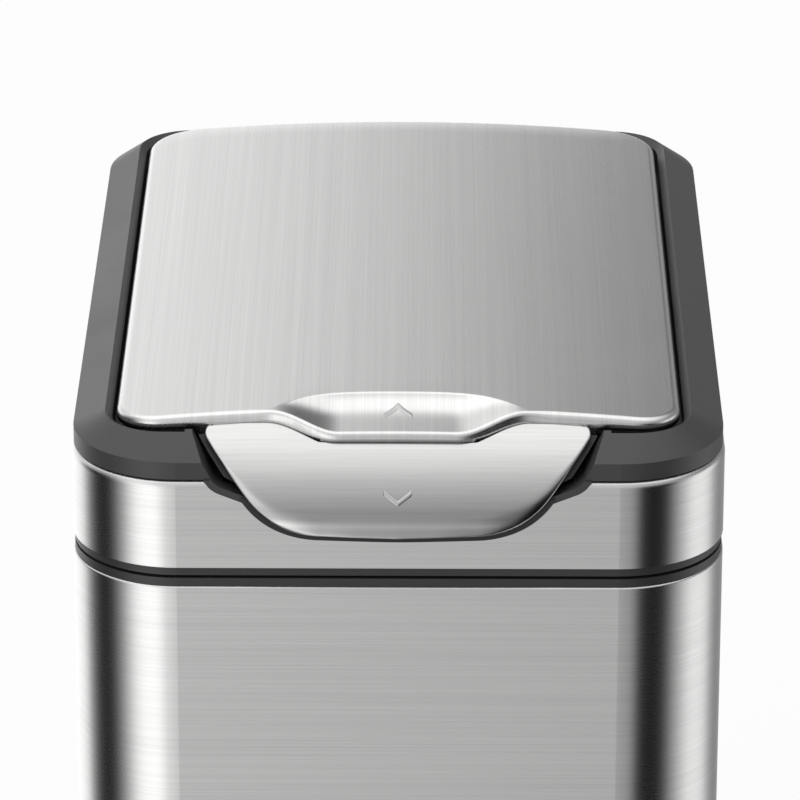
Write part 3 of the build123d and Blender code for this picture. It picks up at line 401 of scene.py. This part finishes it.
# ---------------------------------------------------------------- lid panel
LID_HALF = 85.7 * MM
LID_FRONT, LID_REAR = -130.5 * MM, 128.3 * MM
FRONT_CORNER, REAR_CORNER = 14 * MM, 17 * MM
LID_TOP, CROWN_RADIUS = 267.9 * MM, 840 * MM
LID_EDGE, LIP_EDGE = 2.2 * MM, 1.5 * MM
LIP_EDGE_SIDE, LIP_EDGE_RUN = 6 * MM, 7 * MM  # it tightens from this far beside the scoop, over this run
SKIRT_BOTTOM, HEM = 259.9 * MM, 0.8 * MM
SCOOP_HALF, SCOOP_BACK, SCOOP_MOUTH = 39.8 * MM, 13.5 * MM, 22.2 * MM
SCOOP_SQUARENESS = 4.2  # power of the line round the scoop's rear: higher is squarer
LIP_OUT, LIP_START = 7.1 * MM, 0.4 * MM  # the lip starts this far outside the scoop
SCOOP_DEPTH, DISH_START = 4.85 * MM, 1.4 * MM  # and the dish this far inside it
SCOOP_FALL, SCOOP_EASE = 0.8, 3.1 * MM  # share of the depth that falls steeply, and over what distance
CREASE = 0.5 * MM  # half the width of the rounding where the scoop starts
LINE_GAP = 1.2 * MM  # least distance from the lid's edge to the scoop's line
SLOPE_STEP = 0.1 * MM
CREASE_ROWS = 0.1  # share of the rows before and behind the scoop's line that lie in its crease


def crown(x):
    return LID_TOP - CROWN_RADIUS + sqrt(CROWN_RADIUS ** 2 - x * x)


def mouth_share(x):
    """How far the finger scoop has opened at x: 0 outside it, 1 along its middle."""
    return blend(SCOOP_HALF + LIP_START - abs(x), 0.0, SCOOP_MOUTH)


def depth_share(x):
    """How much of its full depth the scoop has at x; it starts further in than its lip."""
    return blend(SCOOP_HALF - DISH_START - abs(x), 0.0, SCOOP_MOUTH - DISH_START)


def front_edge(x):
    """Radius of the lid's rounded front edge: tighter where it follows the scoop's lip."""
    tightened = blend(SCOOP_HALF + LIP_EDGE_SIDE - abs(x), 0.0, LIP_EDGE_RUN)
    return LID_EDGE - (LID_EDGE - LIP_EDGE) * tightened


def corner_run(x, radius):
    """How far a rounded corner draws the face's outline in at x."""
    inside = radius - LID_EDGE
    past = max(abs(x) - (LID_HALF - radius), 0.0)
    return inside - sqrt(max(inside ** 2 - past ** 2, 0.0))


def lid_front(x):
    """Where the lid's face ends at the front, before its rounded edge."""
    lean = LIP_OUT * (mouth_share(x + SLOPE_STEP) - mouth_share(x - SLOPE_STEP)) / (2 * SLOPE_STEP)
    front = LID_FRONT - LIP_OUT * mouth_share(x) + front_edge(x) * sqrt(1 + lean ** 2)
    return front + corner_run(x, FRONT_CORNER)


def lid_rear(x):
    return LID_REAR - LID_EDGE - corner_run(x, REAR_CORNER)


def scoop_back(x):
    """The line where the scoop starts to fall; beside the scoop it stays just behind the edge."""
    line = LID_FRONT + SCOOP_BACK * (1 - min(abs(x) / SCOOP_HALF, 1.0) ** SCOOP_SQUARENESS)
    nearest = lid_front(x) + LINE_GAP
    return (line + nearest + sqrt((line - nearest) ** 2 + LINE_GAP ** 2)) / 2


def lid_surface(x, y):
    """Height of the lid's face: crowned across, with the scoop pressed into its front."""
    length = scoop_back(x) - lid_front(x)
    past = scoop_back(x) - y
    depth = SCOOP_DEPTH * depth_share(x)
    if past <= -CREASE:
        return crown(x)
    steep, gentle = SCOOP_FALL * depth, (1 - SCOOP_FALL) * depth
    ease = min(SCOOP_EASE, length / 3)
    run = (past + CREASE) ** 2 / (4 * CREASE) if past < CREASE else past
    fall = steep * (1 - exp(-run / ease)) / (1 - exp(-length / ease))
    fall += gentle * (2 - run / length) * run / length
    return crown(x) - fall


def lid_point(x, row):
    """row runs from 0 at the front edge to 1 on the scoop's line and on to 2 at the rear edge."""
    front, line, rear = lid_front(x), scoop_back(x), lid_rear(x)
    if row <= 1 - CREASE_ROWS:
        y = front + (line - CREASE - front) * row / (1 - CREASE_ROWS)
    elif row <= 1 + CREASE_ROWS:
        y = line + CREASE * (row - 1) / CREASE_ROWS
    else:
        y = line + CREASE + (rear - line - CREASE) * (row - 1 - CREASE_ROWS) / (1 - CREASE_ROWS)
    return Vector((x, y, lid_surface(x, y)))


straight_half = LID_HALF - FRONT_CORNER
corner_inside = FRONT_CORNER - LID_EDGE
corner_columns = [straight_half + corner_inside * sin(radians(angle)) for angle in range(9, 91, 9)]
middle_columns = spread(-straight_half, straight_half, 112)
lid_columns = [-x for x in reversed(corner_columns)] + middle_columns + corner_columns
scoop_rows = spread(0, 1 - CREASE_ROWS, 22)
crease_rows = spread(1 - CREASE_ROWS, 1 + CREASE_ROWS, 8)
rear_rows = spread(1 + CREASE_ROWS, 2, 26)
lid_sheet = sheet_grid(lid_columns, scoop_rows[:-1] + crease_rows[:-1] + rear_rows, lid_point)
rim = first_rim(lid_sheet, UP)


def lid_roll_step(angle):
    """One step of the lid's rounded edge, turned down by angle."""
    def move(base, outward, facing, last):
        radius = front_edge(base.x) if base.y < LID_FRONT / 2 else LID_EDGE
        return base + outward * radius * sin(angle) - facing * radius * (1 - cos(angle))
    return move


for angle in range(15, 91, 15):
    rim = draw_rim_out(lid_sheet, rim, lid_roll_step(radians(angle)))
rim = draw_rim_out(
    lid_sheet, rim, lambda base, outward, facing, last: Vector((last.x, last.y, SKIRT_BOTTOM)),
)
rim = draw_rim_out(lid_sheet, rim, lambda base, outward, facing, last: last - outward * HEM)
draw_rim_out(lid_sheet, rim, lambda base, outward, facing, last: last + UP * HEM)
lid_piece = finished_piece("pressed_lid_panel", lid_sheet, lid_steel, UP)
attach(lid_piece, "lid")
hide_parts("lid_panel")

# ---------------------------------------------------------------- lever face
LEVER_BOTTOM = 235.1 * MM
CURVE_Y, CURVE_Z, CURVE_RADIUS = -103.51 * MM, 218.55 * MM, 53 * MM
BOW_RADIUS = 1200 * MM
BOTTOM_RISE = 0.0242  # the bottom edge rises this much per unit out from the middle
BOTTOM_LEAN, BOTTOM_END = radians(1.4), 23.6 * MM  # that edge's slope as an angle, and where it ends
CORNER_X, CORNER_Z, CORNER_RADIUS = 23.5 * MM, 264.67 * MM, 29 * MM  # lower corner's centre and radius
SIDE_LEAN = radians(49.8)
TIP_X, TIP_Z, TIP_RADIUS = 56.54 * MM, 261.3 * MM, 1.8 * MM  # upper corner's centre and radius
UNDER_LIP, LID_GAP = 259.75 * MM, 0.25 * MM
THIN_ROLL, TOP_ROLL, WIDE_ROLL = 0.8 * MM, 0.3 * MM, 6.6 * MM  # widths of the rolled band
THIN_TURN, BOTTOM_TURN, CORNER_TURN = 75, 20, 38  # degrees that it turns back
CORNER_START, CORNER_FULL = 12 * MM, 33 * MM  # the band turns into the lower corner between these
SIDE_START = 46 * MM  # from here to the tip it tightens into the thin edge
TOP_START = 0.8  # share of the way out to the tip where the upper edge starts to widen
LEVER_EDGE, LEAST_EDGE = 1.0 * MM, 0.12 * MM
ROLL_STEPS = 8


def bow(x):
    """How far the lever's face falls back at x from its middle."""
    return BOW_RADIUS - sqrt(BOW_RADIUS ** 2 - x * x)


def lever_high(x):
    """The outline's upper line: close below the lid's edge, and under its lip."""
    edge_y = LID_FRONT - LIP_OUT * mouth_share(x) - LID_GAP - bow(x)
    return max(UNDER_LIP, CURVE_Z + sqrt(CURVE_RADIUS ** 2 - (edge_y - CURVE_Y) ** 2))


def roll_width(x):
    """Width of the rolled band along the lower edge, running out up the sides."""
    return WIDE_ROLL - (WIDE_ROLL - THIN_ROLL) * blend(abs(x), CORNER_FULL, TIP_X)


def roll_turn(x):
    """How far that band turns back by its outer edge."""
    corner = blend(abs(x), CORNER_START, CORNER_FULL)
    side = blend(abs(x), SIDE_START, TIP_X)
    return radians(BOTTOM_TURN + (CORNER_TURN - BOTTOM_TURN) * corner + (THIN_TURN - CORNER_TURN) * side)


def lever_outline():
    """Stations of the right half's outline, from the bottom's middle to the tip: x, z, outward angle."""
    stations = [(x, LEVER_BOTTOM + BOTTOM_RISE * x, BOTTOM_LEAN) for x in spread(0, BOTTOM_END, 22)]
    for lean in spread(BOTTOM_LEAN, SIDE_LEAN, 20):
        x, z = CORNER_X + CORNER_RADIUS * sin(lean), CORNER_Z - CORNER_RADIUS * cos(lean)
        stations.append((x, z, lean))
    corner_end = stations[-1]
    side_end = (TIP_X + TIP_RADIUS * sin(SIDE_LEAN), TIP_Z - TIP_RADIUS * cos(SIDE_LEAN))
    for part in spread(0, 1, 16)[1:]:
        x, z = (corner_end[axis] + (side_end[axis] - corner_end[axis]) * part for axis in (0, 1))
        stations.append((x, z, SIDE_LEAN))
    for lean in spread(SIDE_LEAN, radians(180), 10)[1:]:
        stations.append((TIP_X + TIP_RADIUS * sin(lean), TIP_Z - TIP_RADIUS * cos(lean), lean))
    return stations


def top_roll(x):
    """Width of the rolled upper edge."""
    return TOP_ROLL + (THIN_ROLL - TOP_ROLL) * blend(x, TOP_START * TIP_X, TIP_X)


def lever_flat(column, row):
    """A point of the face in the front view, inside its rolls; row runs from 0 at the bottom to 1."""
    x, z, lean = lever_stations[abs(column)]
    side = -1 if column < 0 else 1
    foot_x, foot_z = x - sin(lean) * roll_width(x), z + cos(lean) * roll_width(x)
    head_x = min(foot_x, TIP_X)
    head_z = (TIP_Z + TIP_RADIUS if head_x == TIP_X else lever_high(head_x)) - top_roll(head_x)
    return Vector((side * (foot_x + (head_x - foot_x) * row), 0, foot_z + (head_z - foot_z) * row))


def lever_place(flat):
    """From the front view, with the depth behind the face as y, onto the curved and bowed face."""
    rise = (flat.z - CURVE_Z) / CURVE_RADIUS
    front = sqrt(1 - rise ** 2)
    facing = Vector((flat.x / BOW_RADIUS * front, -front, rise)).normalized()
    return Vector((flat.x, CURVE_Y - CURVE_RADIUS * front + bow(flat.x), flat.z)) - facing * flat.y


def place_key(place):
    return tuple(round(part / MM, 2) for part in place)


lever_stations = lever_outline()
last_station = len(lever_stations) - 1
lever_columns = range(-last_station, last_station + 1)
lever_sheet = sheet_grid(lever_columns, spread(0, 1, 30), lever_flat)
# The lower edge rolls along the outline's own outward directions, the upper edge along the mesh's
foot_frames = {}
for column in lever_columns:
    x, _, lean = lever_stations[abs(column)]
    across = sin(lean) if column > 0 else -sin(lean)
    outward = Vector((across, 0, -cos(lean)))
    foot_frames[place_key(lever_flat(column, 0))] = (outward, roll_width(x), roll_turn(x))
rim = {}
for vertex, outward in rim_frames(lever_sheet, FRONT).items():
    upper_frame = (outward, top_roll(abs(vertex.co.x)), radians(THIN_TURN))
    outward, width, turn = foot_frames.get(place_key(vertex.co), upper_frame)
    rim[vertex] = (vertex.co.copy(), outward, (width, turn))


def roll_step(part):
    """One step of the edge's roll; part runs from 0 to 1."""
    def move(base, outward, roll, last):
        width, turn = roll
        radius = width / sin(turn)
        return base + outward * radius * sin(turn * part) - FRONT * radius * (1 - cos(turn * part))
    return move


for step in range(1, ROLL_STEPS + 1):
    rim = draw_rim_out(lever_sheet, rim, roll_step(step / ROLL_STEPS))


def edge_back(base, outward, roll, last):
    """The edge's straight part, back to the same depth all round where the roll isn't deeper."""
    return last - FRONT * max(LEVER_EDGE - last.y, LEAST_EDGE)


rim = draw_rim_out(lever_sheet, rim, edge_back)
draw_rim_out(lever_sheet, rim, lambda base, outward, roll, last: last - outward * HEM)
for vertex in lever_sheet.verts:
    vertex.co = lever_place(vertex.co)
lever_piece = finished_piece("curved_lever_face", lever_sheet, lever_steel, FRONT)
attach(lever_piece, "lever")
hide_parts("lever_skin")

# ---------------------------------------------------------------- raised arrows
ARROW_HALF, ARROW_STROKE, ARROW_LIFT = 4.3 * MM, 1.9 * MM, 0.22 * MM
LID_ARROW_TIP, LID_ARROW_LENGTH, LID_ARROW_WIDENING = -121.0 * MM, 4.6 * MM, 1.5
LEVER_ARROW_TIP, LEVER_ARROW_LENGTH, LEVER_ARROW_WIDENING = 244.8 * MM, 2.9 * MM, 0.8


def arrow_piece(name, place, facing):
    """An arrow head raised from a face; place(across, along, side, lift) is a point over it."""
    def rounded(across, side):
        lift = ARROW_LIFT * (1 - 4 * side * side)
        return place(ARROW_HALF * across, abs(across), side * ARROW_STROKE, lift)
    strip = sheet_grid(spread(-1, 1, 20), spread(-0.5, 0.5, 8), rounded)
    rim = first_rim(strip, facing)
    draw_rim_out(strip, rim, lambda base, outward, face, last: base - face * ARROW_LIFT)
    return finished_piece(name, strip, etched_mark, facing)


def on_lid(x, back, side, lift):
    """The scoop's arrow points to the rear; back runs from 0 at its tip to 1 at its ends."""
    y = LID_ARROW_TIP - LID_ARROW_LENGTH * back + side * LID_ARROW_WIDENING
    return Vector((x, y, lid_surface(x, y) + lift))


def on_lever(x, up, side, lift):
    """The lever's arrow points down; up runs from 0 at its tip to 1 at its ends."""
    height = LEVER_ARROW_TIP + LEVER_ARROW_LENGTH * up + side * LEVER_ARROW_WIDENING
    return lever_place(Vector((x, -lift, height)))


lid_arrow = arrow_piece("scoop_arrow", on_lid, UP)
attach(lid_arrow, "lid")
lever_arrow = arrow_piece("lever_arrow", on_lever, FRONT)
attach(lever_arrow, "lever")

# ---------------------------------------------------------------- studio
WHITE_LEVEL = 1.0  # what a camera ray sees
FILL_LEVEL = 0.6  # what lights the matt surfaces
PEAK = 2.0  # highest level of a belt
# Degrees over the horizon where one belt passes into the next
LOW_END, MIDDLE_START, MIDDLE_END, OVERHEAD_START = 8, 18, 30, 66
# What the steel mirrors all round: degrees to the right of the front, level. The lowest belt reaches
# from below the horizon to just over it, and the middle one lies over that. Only glossy and
# transmitted rays see the belts; the levels are set for the front view, and the dark stations near
# -90 make the flat left side nearly black when it is seen squarely.
LOW_BELT = (
    (-180, 1.7), (-138, 1.7), (-125, 1.45), (-114, 0.5), (-106, 0.14), (-98, 0.01), (-80, 0.01),
    (-72, 0.15), (-61, 0.65), (-50, 1.5), (-42, 1.9), (-24, 2.0), (-16, 1.4), (-9, 1.02), (0, 0.8),
    (9, 0.62), (16, 0.5), (20, 0.38), (24, 0.05), (30, 0.0), (52, 0.0), (58, 0.13), (72, 0.7),
    (88, 1.45), (104, 1.5), (114, 1.3), (126, 0.6), (140, 0.35), (160, 0.45), (172, 0.7), (180, 1.7),
)
MIDDLE_BELT = (
    (-180, 0.82), (-172, 1.45), (-165, 1.35), (-155, 1.2), (-140, 1.0), (-120, 1.3), (-104, 0.6),
    (-80, 0.4), (-60, 1.2), (-40, 1.6), (-20, 1.2), (0, 0.95), (16, 0.9), (30, 0.7), (60, 0.55),
    (115, 0.3), (138, 0.4), (152, 0.3), (163, 0.25), (168, 0.06), (174, 0.35), (180, 0.82),
)
world = bpy.data.worlds.new("studio")
scene.world = world
world.use_nodes = True
sky = world.node_tree
sky.nodes.clear()
direction = sky.nodes.new("ShaderNodeSeparateXYZ")
sky.links.new(sky.nodes.new("ShaderNodeTexCoord").outputs["Generated"], direction.inputs[0])
side_x, side_y, height = direction.outputs
bearing = maths(sky, "ARCTAN2", side_x, maths(sky, "MULTIPLY", side_y, -1.0))


def belt(stations):
    """The level all round one belt, from stations of bearing and level."""
    band = sky.nodes.new("ShaderNodeValToRGB")
    sky.links.new(ramp(sky, bearing, -radians(180), radians(180), 0.0, 1.0), band.inputs[0])
    set_stops(band, [((degrees + 180) / 360, level / PEAK) for degrees, level in stations])
    return maths(sky, "MULTIPLY", band.outputs[0], PEAK)


def above(lower, upper, start, stop):
    """Passes from the lower level to the upper one between two heights, in degrees."""
    share = ramp(sky, height, sin(radians(start)), sin(radians(stop)), 0.0, 1.0, smooth=True)
    return maths(sky, "MULTIPLY_ADD", maths(sky, "SUBTRACT", upper, lower), share, lower)


front_to_rear = ramp(sky, side_y, -0.62, -0.2, 1.1, 1.85, smooth=True)
left_to_right = ramp(sky, side_x, -0.6, 0.6, 1.12, 0.88, smooth=True)
overhead = maths(sky, "MULTIPLY", front_to_rear, left_to_right)
mirrored = above(belt(LOW_BELT), belt(MIDDLE_BELT), LOW_END, MIDDLE_START)
mirrored = above(mirrored, overhead, MIDDLE_END, OVERHEAD_START)
path = sky.nodes.new("ShaderNodeLightPath").outputs
sharp_ray = maths(sky, "MAXIMUM", path["Is Glossy Ray"], path["Is Transmission Ray"])
plain = ramp(sky, path["Is Camera Ray"], 0.0, 1.0, FILL_LEVEL, WHITE_LEVEL)
level = maths(sky, "MULTIPLY_ADD", maths(sky, "SUBTRACT", mirrored, plain), sharp_ray, plain)
backdrop = sky.nodes.new("ShaderNodeBackground")
sky.links.new(level, backdrop.inputs["Strength"])
sky.links.new(backdrop.outputs[0], sky.nodes.new("ShaderNodeOutputWorld").inputs[0])

FLOOR_SIZE, FLOOR_TONE, FLOOR_ROUGHNESS = 12, 0.86, 0.9
FLOOR_GLOW = 0.94  # share of the floor that a camera ray sees as plain white

bpy.ops.mesh.primitive_plane_add(size=FLOOR_SIZE)
floor = bpy.context.object
floor.name = "studio_floor"
floor_material, floor_tree, floor_shader, _ = new_material("studio_floor")
floor_shader.inputs["Base Color"].default_value = (FLOOR_TONE, FLOOR_TONE, FLOOR_TONE, 1)
floor_shader.inputs["Roughness"].default_value = FLOOR_ROUGHNESS
floor_path = floor_tree.nodes.new("ShaderNodeLightPath").outputs
glow = floor_tree.nodes.new("ShaderNodeEmission")
blend_white = floor_tree.nodes.new("ShaderNodeMixShader")
white_share = maths(floor_tree, "MULTIPLY", floor_path["Is Camera Ray"], FLOOR_GLOW)
floor_tree.links.new(white_share, blend_white.inputs[0])
floor_tree.links.new(floor_shader.outputs[0], blend_white.inputs[1])
floor_tree.links.new(glow.outputs[0], blend_white.inputs[2])
floor_tree.links.new(blend_white.outputs[0], floor_tree.nodes["Material Output"].inputs[0])
floor.data.materials.append(floor_material)
floor.visible_glossy = False


LAMP_AIM = Vector((0, 0, 0.2))


def soft_lamp(name, place, width, power):
    """A square lamp of the given width, turned to the bin; the steel doesn't mirror it."""
    lamp_data = bpy.data.lights.new(name, "AREA")
    lamp_data.shape = "SQUARE"
    lamp_data.size = width
    lamp_data.energy = power
    lamp = bpy.data.objects.new(name, lamp_data)
    lamp.location = place
    lamp.rotation_euler = (LAMP_AIM - Vector(place)).to_track_quat("-Z", "Y").to_euler()
    lamp.visible_glossy = False
    scene.collection.objects.link(lamp)


soft_lamp("key_lamp", (-1.6, -0.9, 1.9), 1.4, 13.5)
soft_lamp("top_lamp", (0.2, 0.6, 2.2), 1.6, 12)
